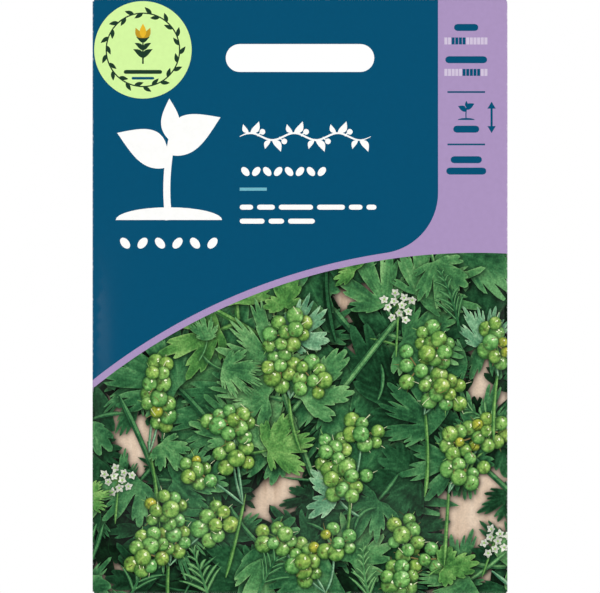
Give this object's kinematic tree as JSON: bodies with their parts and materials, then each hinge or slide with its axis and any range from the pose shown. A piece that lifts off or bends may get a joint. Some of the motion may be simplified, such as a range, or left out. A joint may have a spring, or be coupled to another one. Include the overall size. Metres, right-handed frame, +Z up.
{
  "type": "seed packet",
  "caption": "Flat seed packet of folded and glued coated paper with a punched hang slot and a round corner sticker, holding a sealed foil sachet of herb seeds.",
  "frame": {"origin": "middle of the hang slot's top edge, between the front panel and the side flap, where a display peg carries the packet", "axes": "+Z up along the packet's height, -Y out of the printed front, +X to the right seen from the front"},
  "size_m": [0.095, 0.0058, 0.136],
  "materials": {
    "printed_paper": "coated paper, satin, printed in colour outside and bare white inside",
    "sticker_paper": "semi-gloss label paper",
    "dried_glue": "dried adhesive, dull and slightly clear",
    "foil_laminate": "satin foil with crimped heat seals",
    "seed_husk": "dry ribbed husk, matte"
  },
  "bodies": {
    "root": {"paper_sheet": "printed_paper", "round_sticker": "sticker_paper", "side_seam_glue": "dried_glue", "top_flap_glue": "dried_glue", "bottom_flap_glue": "dried_glue", "sachet_front_film": "foil_laminate", "sachet_back_film": "foil_laminate", "seed_heap": "seed_husk"}
  },
  "joints": []
}
